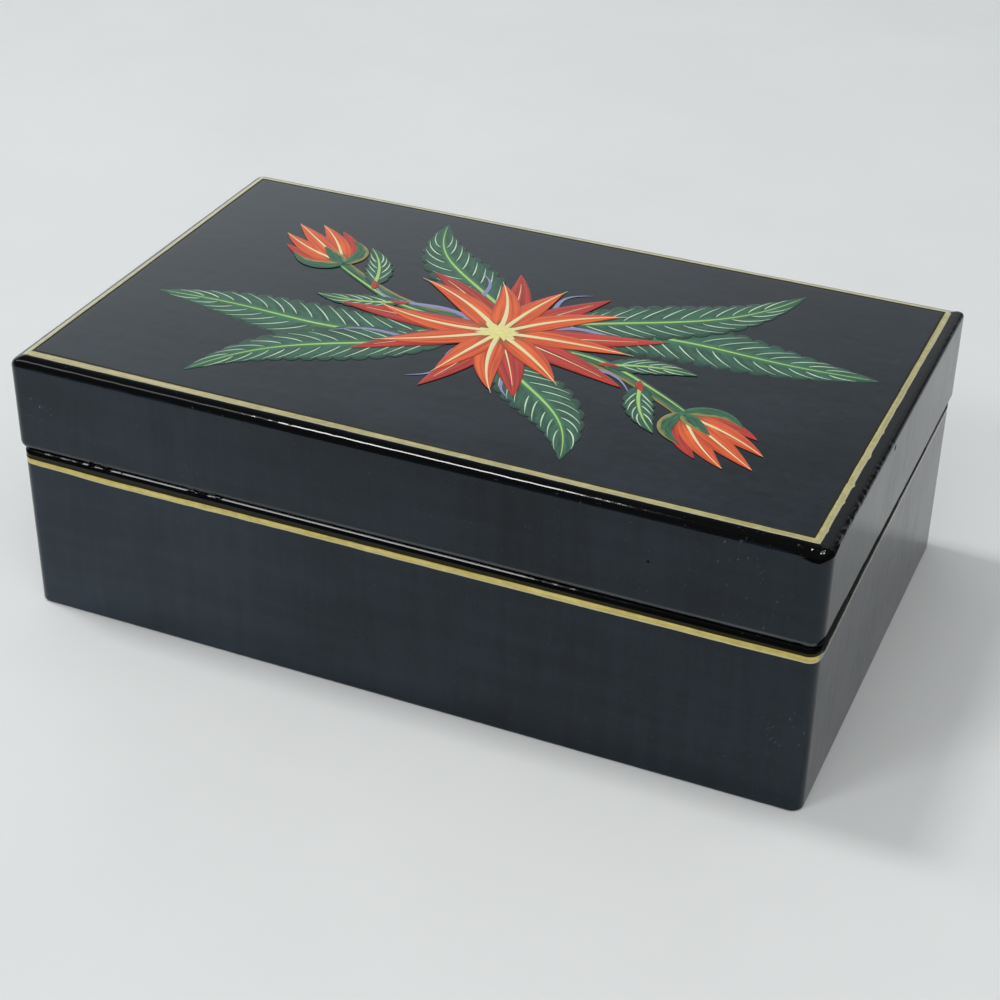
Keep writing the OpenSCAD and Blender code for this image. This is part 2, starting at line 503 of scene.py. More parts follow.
lid_low, lid_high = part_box("lid_top")
lid_length, lid_width, lid_z = lid_high.x - lid_low.x, lid_high.y - lid_low.y, lid_high.z
coat_top = lid_z + LID_FILM


def edge_shape(heading):
    """How far in and how far down the lid's upper edge is rounded."""
    right = ease(math.cos(heading), 0.0, 1.0)
    return EDGE_RUN + (RIGHT_RUN - EDGE_RUN) * right, EDGE_DROP + (RIGHT_DROP - EDGE_DROP) * right


def edge_rows(run, drop):
    """Rows of the lid's upper edge, a quarter of an ellipse. The bead swells its outer part."""
    rows = []
    for i in range(EDGE_STEPS + 1):
        turn = 90 * i / EDGE_STEPS
        out, up = math.cos(math.radians(turn)), math.sin(math.radians(turn))
        normal = Vector((drop * out, run * up)).normalized()
        swell = math.sin(math.pi * turn / EDGE_BEAD_ENDS) if turn < EDGE_BEAD_ENDS else 0.0
        height = coat_top - COAT - drop * (1 - up)
        rows.append((run * (1 - out), height, *normal, max(0.12, swell) if turn < 60 else swell, 1.0))
    return rows


def lid_surface(inset, heading):
    """Height of the lid's coat at a way in from a face."""
    run, drop = edge_shape(heading)
    part = max(0.0, 1 - (inset + COAT) / run)
    return coat_top - drop * (1 - math.sqrt(1 - part * part))


def lid_finish(place, inset, heading):
    """Round the top the lacquer is pooled. Along the lower edge it is pooled and darker as painted shade, and
    just above the lower edge it is worn, with a pale line that is partly painted reflection.

    It is matt where it ran down at the front right corner, and matt black as painted shade in the seam on the
    right.
    """
    run, drop = edge_shape(heading)
    waver = 0.25 * MM * noise.noise(place / (9 * MM)) + 0.12 * MM * noise.noise(place / (2 * MM))
    start = coat_top - drop + 0.4 * MM
    corner = ease(place.x - place.y, 150 * MM, 159 * MM)
    top = ease(place.z + waver + CORNER_RUN_DOWN * corner, start, start + 0.35 * MM)
    reach = max(run, 3.7 * MM)
    top *= 1 - ease(inset + 0.5 * waver, 0.66 * reach, 0.81 * reach)
    foot = 1 - ease(place.z + 0.5 * waver, *FOOT_POOL_AND_SHADE)
    matt = corner * (1 - ease(place.z, start, start + 0.3 * MM)) * top
    gap = seam_share(place)
    if gap:
        shade_end = SEAM_SHADE_MATT + SEAM_SHADE_CLIMB * gap
        matt = max(matt, 1 - ease(place.z, shade_end, shade_end + 0.2 * MM))
    # Stronger towards the right: partly wear, partly painted reflection along the lid's lower edge.
    rubbed_and_sheen = (0.20 + 0.60 * ease(place.x, -70 * MM, 20 * MM)) * (1 + 0.5 * noise.noise(place / (14 * MM)))
    worn_and_sheen = rubbed_and_sheen * ease(place.z, *WORN_SHEEN_RISE) * (1 - ease(place.z, *WORN_SHEEN_FALL))
    return max(top, foot), matt, max(0.0, min(1.0, worn_and_sheen))


def lid_section(heading):
    """The section of the lid's coat, from under the lid's top round to the top's middle."""
    run, drop = edge_shape(heading)
    side_top = coat_top - COAT - drop
    return (
        [
            (TOP_MIDDLE, lid_z - COAT_INSIDE, 0, 0, 0, None),
            (2 * COAT_INSIDE, lid_z - COAT_INSIDE, 0, 0, 0, None),
            (LID_FOOT_R, rim_z + COAT_INSIDE, 0, 0, 0, None),
        ]
        + rounding(rim_z + LID_FOOT_R, LID_FOOT_R, -90, 0, "first", 24)
        + side_rows(rim_z + LID_FOOT_R, rim_z + LID_FOOT_R + 1 * MM, 4)
        + side_rows(rim_z + LID_FOOT_R + 1 * MM, lid_z - 5 * MM, 7)
        + side_rows(lid_z - 5 * MM, side_top, 22, 0.12)
        + edge_rows(run, drop)
        + [(EDGE_RUN + 2 * MM, coat_top, 0, 0, 0, None), (TOP_MIDDLE, coat_top, 0, 0, 0, None)]
    )


lid_coat = coat_shell("lid_lacquer_coat", lid_length, lid_width, lid_section, lid_finish, filled=True)
lid_coat.data.materials.append(black_lacquer)
lid_coat.data.materials.append(matt_lacquer_and_shade)
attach(lid_coat, "lid")

# Gold line round the base.
# One line of ochre-gold paint, drawn by hand with a liner brush a little under the rim.
# Its edges waver, and it climbs a little from left to right along the front.
PAINT = 0.02 * MM
GOLD_STEP = 0.8 * MM
UP = Vector((0, 0, 1))

# Across a stroke: how far from its middle to its edge, and how high the paint stands there
STROKE_SECTION = ((-1, -1), (-0.93, 0.6), (-0.5, 1), (0, 1), (0.5, 1), (0.93, 0.6), (1, -1))

# How the line runs along the front: a place, its lower edge and its upper edge
FRONT_LINE = [
    (-96 * MM, 40.65 * MM, 42.80 * MM),
    (-75 * MM, 40.05 * MM, 42.55 * MM),
    (-15 * MM, 40.40 * MM, 42.75 * MM),
    (30 * MM, 40.45 * MM, 43.10 * MM),
    (75 * MM, 40.65 * MM, 43.15 * MM),
    (96 * MM, 40.80 * MM, 43.40 * MM),
]


def hand(run, seed, sway, shake):
    """How far a hand-drawn edge strays at a length along the line: a slow sway and a small shake."""
    slow = noise.noise(Vector((run / (34 * MM), seed, 0.5)))
    quick = noise.noise(Vector((run / (4 * MM), seed, 7.5)))
    return sway * slow + shake * quick


def paint_mesh():
    """A bmesh that carries what the paint materials read."""
    mesh = bmesh.new()
    for layer in ("along", "across", "tint"):
        mesh.verts.layers.float.new(layer)
    return mesh


def lay_film(mesh, rows, closed, section=STROKE_SECTION, drape=None):
    """Lays a thin closed film of paint. Each row is (along, tint, one edge, other edge, the way out).

    drape moves a place between the two edges onto the surface.
    """
    layers = [mesh.verts.layers.float[name] for name in ("along", "across", "tint")]
    made = []
    for along, tint, left, right, outward in rows:
        verts = []
        for across, lift in section:
            place = left.lerp(right, (across + 1) / 2)
            vert = mesh.verts.new((drape(place) if drape else place) + outward * lift * PAINT)
            for layer, value in zip(layers, (along, across, tint)):
                vert[layer] = value
            verts.append(vert)
        made.append(verts)
    for here, there in zip(made, made[1:] + (made[:1] if closed else [])):
        for k in range(len(here) - 1):
            mesh.faces.new((here[k], here[k + 1], there[k + 1], there[k]))
        mesh.faces.new((here[0], there[0], there[-1], here[-1]))
    if not closed:
        mesh.faces.new(made[0])
        mesh.faces.new(made[-1])


def between(table, value):
    """The numbers of a table's rows at a value, in proportion between the two nearest rows."""
    for low, high in zip(table, table[1:]):
        if value <= high[0]:
            break
    share = max(0.0, min(1.0, (value - low[0]) / (high[0] - low[0])))
    return [a + (b - a) * share for a, b in zip(low[1:], high[1:])]


mesh = paint_mesh()
rows = []
run = 0.0
last = None
for foot, heading in stations_round(base_length, base_width, GOLD_STEP):
    way = Vector((math.cos(heading), math.sin(heading)))
    flat = foot + way * CORNER_R
    run += (flat - last).length if last is not None else 0.0
    last = flat
    low, high = between(FRONT_LINE, flat.x)
    right = ease(flat.y, -58 * MM, -54 * MM) if flat.x > 98 * MM else 0.0
    climb = seam_climb(flat.y)
    low += hand(run, 1.0, 0.10 * MM, 0.08 * MM) + right * (climb - 0.8 * MM)
    high += hand(run, 5.0, 0.10 * MM, 0.06 * MM) + right * (climb - 2.0 * MM)
    edges = []
    for z in (low, high):
        depth = film_depth(Vector((*flat, z)), 0.0)
        edges.append(Vector((*(flat + way * depth), z)))
    # On the base's right side the line is greyed: partly rubbed gold, partly painted reflection of that
    # side's grazing sheen.
    tint = 0.5 + 0.5 * ease(flat.x, 98.9 * MM, 99.35 * MM)
    rows.append((run, tint, *edges, Vector((*way, 0))))
lay_film(mesh, rows, closed=True)
base_line = shown("base_gold_line", mesh)
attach(base_line, "base")


def build_brush_group():
    """Streaks of the bristles along a stroke, from the places along and across it.

    Slant leans them outward.
    """
    group, given, out = new_group(
        "brush_streaks",
        [
            ("Bristles", "NodeSocketFloat", 5.0),
            ("Length", "NodeSocketFloat", 3.0),
            ("Slant", "NodeSocketFloat", 0.0),
        ],
        ["Streak", "Along", "Across", "Tint"],
    )
    reads = {}
    for label in ("along", "across", "tint"):
        node = group.nodes.new("ShaderNodeAttribute")
        node.attribute_name = label
        reads[label] = node.outputs["Fac"]
    outward = sums(group, "POWER", sums(group, "ABSOLUTE", reads["across"]), 1.5)
    along = sums(group, "SUBTRACT", reads["along"], sums(group, "MULTIPLY", outward, given.outputs["Slant"]))
    joined = group.nodes.new("ShaderNodeCombineXYZ")
    group.links.new(sums(group, "MULTIPLY", along, given.outputs["Length"]), joined.inputs["X"])
    group.links.new(sums(group, "MULTIPLY", reads["across"], given.outputs["Bristles"]), joined.inputs["Y"])
    group.links.new(sums(group, "MULTIPLY", reads["tint"], 37.0), joined.inputs["Z"])
    texture = group.nodes.new("ShaderNodeTexNoise")
    texture.inputs["Scale"].default_value = 1.0
    texture.inputs["Detail"].default_value = 3.0
    group.links.new(joined.outputs["Vector"], texture.inputs["Vector"])
    group.links.new(texture.outputs["Fac"], out.inputs["Streak"])
    group.links.new(along, out.inputs["Along"])
    group.links.new(reads["across"], out.inputs["Across"])
    group.links.new(reads["tint"], out.inputs["Tint"])
    return group


brush_streaks = build_brush_group()


def paint_material(name, dull, **streak_values):
    """A thin opaque paint: its material, tree, shader and brush streaks."""
    material, tree, shader = new_material(name)
    streaks = place_group(tree, brush_streaks, **streak_values)
    peel = grain(tree, box_place(tree), 700, 2, 0.5)
    height = sums(tree, "ADD", streaks.outputs["Streak"], sums(tree, "MULTIPLY", peel, 0.4))
    feed(tree, shader.inputs["Normal"], bump(tree, height, 0.00003))
    dullness = spread(tree, streaks.outputs["Streak"], 0.3, 0.7, dull - 0.06, dull + 0.08)
    feed(tree, shader.inputs["Roughness"], dullness)
    shader.inputs["IOR"].default_value = 1.4
    return material, tree, shader, streaks.outputs


def build_gold_paint(name, dark, light, low_edge, underline):
    """Varnished ochre gold, greyed where the tint is high: partly rubbed gold, partly painted reflection.

    low_edge is its tone along one edge, and the brown underline starts at its place across, at the other.
    """
    material, tree, shader, streaks = paint_material(name, 0.40, Bristles=2.2, Length=60.0)
    blot = grain(tree, box_place(tree), 420, 3, 0.6)
    tone = spread(tree, sums(tree, "ADD", streaks["Streak"], blot), 0.75, 1.25)
    gold = blended(tree, tone, dark, light)
    gold = blended(tree, spread(tree, streaks["Across"], -0.55, -0.75, 0.0, 0.9), gold, low_edge)
    gold = blended(tree, spread(tree, streaks["Tint"], 0.6, 1.0, 0.0, 0.85), gold, (0.20, 0.205, 0.18))
    outline = spread(tree, streaks["Across"], underline, underline + 0.08, 0.0, 0.97)
    feed(tree, shader.inputs["Base Color"], blended(tree, outline, gold, (0.012, 0.008, 0.002)))
    feed(tree, shader.inputs["Coat Weight"], sums(tree, "SUBTRACT", 1.0, outline))
    shader.inputs["IOR"].default_value = 1.12
    shader.inputs["Coat IOR"].default_value = 1.37
    shader.inputs["Coat Roughness"].default_value = 0.15
    return material


base_gold_paint = build_gold_paint(
    "base_gold_paint", (0.49, 0.395, 0.100), (0.68, 0.575, 0.18), (0.58, 0.52, 0.29), underline=0.33
)
base_line.data.materials.append(base_gold_paint)

# Gold line round the lid's top.
# The same paint, four strokes that meet in mitred corners close to the lid's edge.
# The front and right strokes are the wider ones, and a thin brown underline shows along their inner edge.

# Blots on the right side's line: where, half their length as shares of the side, and how far they run out
GOLD_BLOTS = [
    (0.045, 0.010, 0.22 * MM),
    (0.150, 0.006, 0.30 * MM),
    (0.215, 0.008, 0.40 * MM),
    (0.330, 0.012, 0.28 * MM),
    (0.430, 0.006, 0.25 * MM),
]

# Each side's outer edge, in from the lid's face at its start and end, and its width there, anticlockwise
LID_LINE = [
    (3.4 * MM, 3.2 * MM, 3.0 * MM, 2.3 * MM),
    (3.4 * MM, 2.8 * MM, 2.3 * MM, 2.1 * MM),
    (2.2 * MM, 2.2 * MM, 1.9 * MM, 1.9 * MM),
    (2.0 * MM, 2.0 * MM, 1.8 * MM, 1.8 * MM),
]


def lid_line_corners(offset_at):
    """The four corners of one edge of the line, from how far in each side's edge starts and ends."""
    half_l, half_w = lid_length / 2, lid_width / 2
    front, right, back, left = (offset_at(side) for side in LID_LINE)
    return [
        Vector((-half_l + left[1], -half_w + front[0])),
        Vector((half_l - right[0], -half_w + front[1])),
        Vector((half_l - right[1], half_w - back[0])),
        Vector((-half_l + left[0], half_w - back[1])),
    ]


def on_lid(place):
    """The place on the lid's coat over or under a place."""
    faces = (
        (lid_length / 2 - place.x, 0.0),
        (lid_width / 2 - abs(place.y), math.pi / 2),
        (lid_length / 2 + place.x, math.pi),
    )
    return Vector((place.x, place.y, min(lid_surface(inset, heading) for inset, heading in faces)))


def blots(side, share):
    """How far the paint has run out over the bead, at a share of a side."""
    spread_out = 0.0
    for place, half, out in GOLD_BLOTS:
        if side == 1:
            spread_out = max(spread_out, out * max(0.0, 1 - ((share - place) / half) ** 2))
    return spread_out


outer_corners = lid_line_corners(lambda side: (side[0], side[1]))
inner_corners = lid_line_corners(lambda side: (side[0] + side[2], side[1] + side[3]))
mesh = paint_mesh()
rows = []
run = 0.0
for side in range(4):
    after = (side + 1) % 4
    inward = Vector(((0, 1), (-1, 0), (0, -1), (1, 0))[side])
    length = (outer_corners[after] - outer_corners[side]).length
    count = round(length / GOLD_STEP)
    for i in range(count):
        share = i / count
        ends = min(1.0, min(share, 1 - share) * length / (3 * MM))
        outer = outer_corners[side].lerp(outer_corners[after], share)
        inner = inner_corners[side].lerp(inner_corners[after], share)
        outer += inward * ends * hand(run, 11.0, 0.16 * MM, 0.08 * MM)
        inner += inward * ends * hand(run, 15.0, 0.14 * MM, 0.06 * MM)
        outer -= inward * blots(side, share)
        rows.append((run, 0.5, Vector((*outer, coat_top)), Vector((*inner, coat_top)), UP))
        run += length / count
lay_film(mesh, rows, closed=True, drape=on_lid)
lid_line = shown("lid_gold_line", mesh)
lid_gold_paint = build_gold_paint(
    "lid_gold_paint", (0.37, 0.335, 0.14), (0.545, 0.495, 0.25), (0.49, 0.455, 0.28), underline=0.36
)
lid_line.data.materials.append(lid_gold_paint)
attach(lid_line, "lid")

# Leaves of the picture on the lid.
# Dark green leaves brushed thinly on the black, with scalloped edges, a bright midrib and fine side veins.
# Two long leaves and four short ones turn round the middle of the lid.
LAYER = 0.02 * MM
VEIN_SLANT = 2.5
LEAF_SECTION = ((-1, -1), (-0.97, 0.3), (-0.8, 0.7), (-0.5, 0.9), (-0.2, 1), (0, 1),
                (0.2, 1), (0.5, 0.9), (0.8, 0.7), (0.97, 0.3), (1, -1))
painter = random.Random(11)


def brush_path(start, end, bow=0.0, sway=0.0):
    """A path in millimetres as a function of 0..1, bowed to its left and swayed like an S."""
    start, end = Vector(start), Vector(end)
    left = Vector((start.y - end.y, end.x - start.x))

    def place(t):
        return start.lerp(end, t) + left * (4 * bow * t * (1 - t) + sway * math.sin(2 * math.pi * t))

    return place


def left_of(path, t):
    """The way to the left of a path."""
    ahead = path(t + 0.01) - path(t - 0.01)
    return Vector((-ahead.y, ahead.x)).normalized()


def lay_stroke(mesh, path, half_width, level, tint, steps=20, scale=1.0, section=STROKE_SECTION):
    """Lays one brush stroke on the lid: its path, half width in millimetres, level and tint."""
    rows = []
    height = coat_top + LAYER * level
    for i in range(steps + 1):
        t = i / steps
        side = left_of(path, t) * max(0.03, half_width(t))
        edges = [Vector((*(edge * MM), height)) for edge in (path(t) + side, path(t) - side)]
        rows.append((t * scale, tint, *edges, UP))
    lay_film(mesh, rows, closed=False, section=section)


def lay_leaf(start, end, bow, sway, half, count, tint, level=0):
    """One leaf with its midrib and side veins. count is how many veins leave each side."""
    path = brush_path(start, end, bow, sway)

    def smooth_half(t):
        return half * math.sin(math.pi * max(0.0, min(1.0, t)) ** 0.72) ** 0.85

    def half_width(t):
        lobe = abs(math.sin(math.pi * (t * count - VEIN_SLANT)))
        return smooth_half(t) * (0.84 + 0.16 * lobe ** 0.6)

    def midrib(t):
        return path(0.97 * t)

    def vein_half(v):
        return 0.04 + 0.15 * math.sin(math.pi * v ** 0.7)

    lay_stroke(leaves, path, half_width, level, tint, 8 * count, count, LEAF_SECTION)
    lay_stroke(leaf_veins, midrib, lambda t: 0.58 - 0.50 * t, level + 1.4, 0.9, 40)
    for k in range(1, count - 2):
        for side in (-1, 1):
            near, reach = painter.uniform(0.12, 0.22), painter.uniform(0.74, 0.90)
            shift = painter.uniform(-0.12, 0.12)

            def vein(v):
                outward = near + (reach - near) * v
                t = (k + shift + VEIN_SLANT * max(0.0, outward) ** 1.5) / count
                return path(t) + left_of(path, t) * side * outward * smooth_half(t)

            lay_stroke(leaf_veins, vein, vein_half, level + 1, painter.uniform(0.1, 0.6), 12)


leaves, leaf_veins = paint_mesh(), paint_mesh()
LEAVES = [
    ((11, 3), (90, 15), 0.07, 0.03, 11.0, 18, 0),
    ((9, 9), (62, 50), -0.09, 0.02, 9.2, 15, 3),
    ((-4, 12), (-37, 51), 0.10, -0.02, 8.6, 11, 3),
]
for start, end, bow, sway, half, count, level in LEAVES:
    for turn in (1, -1):
        reach = 1.0 if turn == 1 else 0.96
        far = Vector(end) * turn * reach
        lay_leaf(Vector(start) * turn, far, bow, sway, half * reach, count, painter.uniform(0.1, 0.9), level)


leaf_paint, tree, shader, streaks = paint_material("leaf_green_paint", 0.40, Bristles=2.0, Length=2.2,
                                                   Slant=VEIN_SLANT)
wave = sums(tree, "COSINE", sums(tree, "MULTIPLY", streaks["Along"], 2 * math.pi))
shade = sums(tree, "ADD", streaks["Streak"], sums(tree, "MULTIPLY", wave, -0.05))
green = blended(tree, spread(tree, shade, 0.36, 0.66), (0.016, 0.066, 0.040), (0.040, 0.150, 0.095))
middle = sums(tree, "ABSOLUTE", streaks["Across"])
green = blended(tree, spread(tree, middle, 0.22, 0.0, 0.0, 0.7), green, (0.075, 0.290, 0.100))
outward = sums(tree, "ADD", middle, sums(tree, "MULTIPLY", streaks["Streak"], 0.5))
thin = spread(tree, outward, 0.98, 1.30, 0.0, 0.85)
feed(tree, shader.inputs["Base Color"], blended(tree, thin, green, (0.006, 0.026, 0.019)))
vein_paint, tree, shader, streaks = paint_material("leaf_vein_paint", 0.4, Bristles=1.5, Length=5.0)
tone = sums(tree, "ADD", streaks["Tint"], sums(tree, "MULTIPLY", streaks["Streak"], 0.3))
pale = blended(tree, spread(tree, tone, 0.2, 0.7), (0.40, 0.62, 0.40), (0.66, 0.82, 0.58))
bright = blended(tree, streaks["Streak"], (0.24, 0.50, 0.10), (0.52, 0.74, 0.26))
feed(tree, shader.inputs["Base Color"], blended(tree, spread(tree, streaks["Tint"], 0.75, 0.8), pale, bright))

# Stems and buds of the picture.
# Two stems curve out of the flower and each ends in a bud of pointed petals held by green.
# Olive is brushed along one edge of each stem, with a bright stroke beside it and small red tips.
stems, petals, cream_lines = paint_mesh(), paint_mesh(), paint_mesh()
BUD_PETALS = [
    (-26, 19, 2.8, 0.12),
    (26, 19, 2.8, 0.18),
    (-13, 24, 3.1, 0.75),
    (13, 24, 3.1, 0.85),
    (0, 27, 3.3, 0.95),
]


def turned(way, degrees):
    """A flat way turned anticlockwise."""
    way = way.copy()
    way.rotate(Matrix.Rotation(math.radians(degrees), 2))
    return way


def lay_petal(start, way, length, half, level, tint, bow=0.0):
    """One pointed petal. Gives its path, for the lines that go on it."""
    path = brush_path(start, start + way * length, bow)
    lay_stroke(petals, path, lambda t: half * math.sin(math.pi * t ** 0.62) ** 0.85 + 0.03, level, tint, 26)
    return path


def lay_spray(turn, reach):
    """One stem with its small leaves, its bud and its strokes, on one side of the flower."""
    stem_end = Vector((55, -20)) * turn * reach
    path = brush_path(Vector((7, -5)) * turn, stem_end, 0.13, 0.02)

    def beside(t):
        return path(t) + left_of(path, t) * 1.0

    lay_stroke(stems, path, lambda t: 2.6 - 1.0 * t, 5, 0.3, 44)
    lay_stroke(leaf_veins, beside, lambda t: 0.10 + 0.30 * math.sin(math.pi * t), 6, 1.0, 40)
    way = (path(1.0) - path(0.97)).normalized()
    for k, (lean, length, half, tint) in enumerate(BUD_PETALS):
        outward = turned(way, lean)
        level = 6 + 0.5 * k
        petal = lay_petal(stem_end - way * 1.5, outward, length * reach, half, level, tint, lean * 0.004)
        if k > 1:
            lay_stroke(cream_lines, lambda t: petal(0.1 + 0.9 * t), lambda t: 0.46 - 0.40 * t,
                       level + 1.5, 0.5, 14)
    for lean, length in ((-42, 12), (40, 13), (0, 9)):
        outward = turned(way, lean)
        sepal = brush_path(stem_end - way * 2.5, stem_end + outward * length, lean * 0.006)
        lay_stroke(stems, sepal, lambda t: 2.0 * math.sin(math.pi * t ** 0.6) ** 0.8 + 0.03, 10, 0.7, 18)
    for t, side in ((0.42, 1), (0.66, -1)):
        start = path(t)
        outward = turned((path(t + 0.05) - path(t)).normalized(), 32 * side)
        lay_leaf(start, start + outward * 22, 0.08 * side, 0.0, 3.8, 7, 0.5, 7)
        tip = brush_path(start - outward * 2, start + outward * 3.4, 0.1 * side)
        lay_stroke(petals, tip, lambda v: 0.9 * math.sin(math.pi * v ** 0.7) + 0.03, 10, 0.3, 12)


lay_spray(1, 1.0)
lay_spray(-1, 0.97)

stem_paint, tree, shader, streaks = paint_material("stem_green_paint", 0.40, Bristles=3.0, Length=4.0)
wash = spread(tree, streaks["Streak"], 0.35, 0.65)
teal = blended(tree, wash, (0.010, 0.060, 0.034), (0.045, 0.190, 0.085))
olive = blended(tree, streaks["Streak"], (0.16, 0.13, 0.03), (0.40, 0.36, 0.12))
edge = spread(tree, sums(tree, "ADD", streaks["Across"], streaks["Streak"]), 0.85, 1.2)
feed(tree, shader.inputs["Base Color"], blended(tree, edge, teal, olive))

# Flower of the picture.
# A rosette of pointed petals, crimson ones behind and orange-red ones in front, brushed dry so streaks show.
# Tapered cream lines run out from its yellow middle, and thin violet strokes curl between the petals.
violet_strokes = paint_mesh()
BACK_COUNT, FRONT_COUNT, DAB_COUNT = 9, 10, 14
VIOLETS = [(18, 34, 0.16), (64, 30, -0.2), (121, 31, 0.18), (163, 35, -0.15),
           (203, 35, 0.16), (248, 30, -0.2), (297, 31, 0.2), (338, 36, -0.16)]


def oval_reach(degrees, long_reach, short_reach):
    """Reach of an oval at an angle."""
    angle = math.radians(degrees)
    return 1 / math.hypot(math.cos(angle) / long_reach, math.sin(angle) / short_reach)


for k, (degrees, reach, sway) in enumerate(VIOLETS):
    way = turned(Vector((1, 0)), degrees)
    reach = oval_reach(degrees, reach + 8, reach)
    curl = brush_path(way * 8, way * reach, 0.06, sway * 0.5)
    thickness = lambda t: 0.72 * math.sin(math.pi * (0.35 + 0.65 * t)) + 0.05
    lay_stroke(violet_strokes, curl, thickness, 6.4, 0.1 * k, 34)
for k in range(BACK_COUNT):
    degrees = 360 * (k + 0.5) / BACK_COUNT + painter.uniform(-4, 4)
    way = turned(Vector((1, 0)), degrees)
    reach = oval_reach(degrees, 38, 29) * painter.uniform(0.92, 1.08)
    tint, bow = painter.uniform(0.05, 0.35), painter.uniform(-0.06, 0.06)
    path = lay_petal(way * 2, way, reach, 4.0, 8 + 0.4 * (k % 3), tint, bow)
    lay_stroke(cream_lines, lambda t: path(0.2 + 0.62 * t), lambda t: 0.24 - 0.18 * t, 9.6, 0.2, 18)
for k in range(FRONT_COUNT):
    degrees = 360 * k / FRONT_COUNT + painter.uniform(-5, 5)
    way = turned(Vector((1, 0)), degrees)
    reach = oval_reach(degrees, 31, 24) * painter.uniform(0.9, 1.12)
    tint, bow = painter.uniform(0.6, 1.0), painter.uniform(-0.08, 0.08)
    path = lay_petal(way * 1.5, way, reach, 3.7, 10 + 0.5 * (k % 4), tint, bow)
    lay_stroke(cream_lines, lambda t: path(0.04 + 1.02 * t), lambda t: 0.72 - 0.66 * t, 13, 0.6, 24)
for k in range(DAB_COUNT):
    way = turned(Vector((1, 0)), 360 * k / DAB_COUNT + painter.uniform(-8, 8))
    dab = brush_path(way * 0.4, way * painter.uniform(4.4, 6.0), painter.uniform(-0.1, 0.1))
    level = 14 + 0.1 * k
    lay_stroke(cream_lines, dab, lambda t: 0.75 * math.sin(math.pi * t ** 0.6) ** 0.8 + 0.03, level, 0.9, 12)
middle = brush_path((-2.3, 0.2), (2.3, -0.2))
lay_stroke(cream_lines, middle, lambda t: 2.1 * math.sqrt(max(0.0, 1 - (2 * t - 1) ** 2)) + 0.03, 16, 1.0, 16)

red_paint, tree, shader, streaks = paint_material("petal_red_paint", 0.42, Bristles=5.0, Length=1.6)
strong = spread(tree, streaks["Streak"], 0.34, 0.62)
crimson = blended(tree, strong, (0.26, 0.014, 0.012), (0.62, 0.050, 0.030))
orange = blended(tree, strong, (0.55, 0.050, 0.012), (0.86, 0.150, 0.030))
red = blended(tree, spread(tree, streaks["Tint"], 0.42, 0.58), crimson, orange)
inward = sums(tree, "ADD", streaks["Along"], sums(tree, "MULTIPLY", streaks["Streak"], 0.35))
red = blended(tree, spread(tree, inward, 0.40, 0.18), red, (0.15, 0.085, 0.020))
rim = spread(tree, sums(tree, "ABSOLUTE", streaks["Across"]), 0.78, 1.0, 0.0, 0.55)
feed(tree, shader.inputs["Base Color"], blended(tree, rim, red, (0.22, 0.016, 0.010)))

cream_paint, tree, shader, streaks = paint_material("cream_line_paint", 0.42, Bristles=2.0, Length=3.0)
cream = blended(tree, streaks["Streak"], (0.76, 0.66, 0.30), (0.92, 0.86, 0.52))
yellow = blended(tree, streaks["Streak"], (0.72, 0.62, 0.13), (0.93, 0.90, 0.46))
feed(tree, shader.inputs["Base Color"], blended(tree, spread(tree, streaks["Tint"], 0.7, 0.9), cream, yellow))

violet_paint, tree, shader, streaks = paint_material("violet_line_paint", 0.42, Bristles=2.0, Length=3.0)
violet = blended(tree, streaks["Streak"], (0.15, 0.15, 0.36), (0.40, 0.41, 0.62))
feed(tree, shader.inputs["Base Color"], violet)

PICTURE = [
    ("picture_leaves", leaves, leaf_paint, "green_paint"),
    ("picture_leaf_veins", leaf_veins, vein_paint, "green_paint"),
    ("picture_stems", stems, stem_paint, "green_paint"),
    ("picture_petals", petals, red_paint, "red_paint"),
    ("picture_cream_lines", cream_lines, cream_paint, "cream_paint"),
    ("picture_violet_strokes", violet_strokes, violet_paint, "violet_paint"),
]
for name, mesh, material, slot in PICTURE:
    piece = shown(name, mesh)
    piece.data.materials.append(material)
    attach(piece, "lid")

# Floor, light and camera.
# A plain pale floor under large soft lamps, seen from above the box's front right corner.
# The sky is pale only near the horizon, so the beads stay black between their highlights.
FLOOR_HALF = 6.0
LAMP_FAR = 2.5
BOX_MIDDLE = Vector((0.0, 0.0, 0.04))

floor_mesh = bpy.data.meshes.new("floor")
floor_corners = [(-FLOOR_HALF, -FLOOR_HALF, 0), (FLOOR_HALF, -FLOOR_HALF, 0)]
floor_corners += [(FLOOR_HALF, FLOOR_HALF, 0), (-FLOOR_HALF, FLOOR_HALF, 0)]
floor_mesh.from_pydata(floor_corners, [], [(0, 1, 2, 3)])
floor = bpy.data.objects.new("floor", floor_mesh)
bpy.context.scene.collection.objects.link(floor)
pale_floor, tree, shader = new_material("pale_floor")
mottle = spread(tree, grain(tree, box_place(tree), 9, 4, 0.6), 0.3, 0.7)
feed(tree, shader.inputs["Base Color"], blended(tree, mottle, (0.815, 0.83, 0.825), (0.855, 0.87, 0.865)))
shader.inputs["Roughness"].default_value = 0.9
shader.inputs["Specular IOR Level"].default_value = 0.2
floor.data.materials.append(pale_floor)


def softbox(name, direction, width, height, radiance, fill=False):
    """A rectangular lamp far from the box, in a direction from it and facing it.

    Its sizes are angles in radians. A fill lamp doesn't show in the lacquer.
    """
    lamp = bpy.data.lights.new(name, "AREA")
    lamp.shape = "RECTANGLE"
    lamp.size, lamp.size_y = width * LAMP_FAR, height * LAMP_FAR
    lamp.energy = math.pi * lamp.size * lamp.size_y * radiance
    holder = bpy.data.objects.new(name, lamp)
    way = Vector(direction).normalized()
    holder.location = BOX_MIDDLE + way * LAMP_FAR
    holder.rotation_euler = way.to_track_quat("Z", "Y").to_euler()
    holder.visible_camera = False
    holder.visible_glossy = not fill
    bpy.context.scene.collection.objects.link(holder)
    return holder


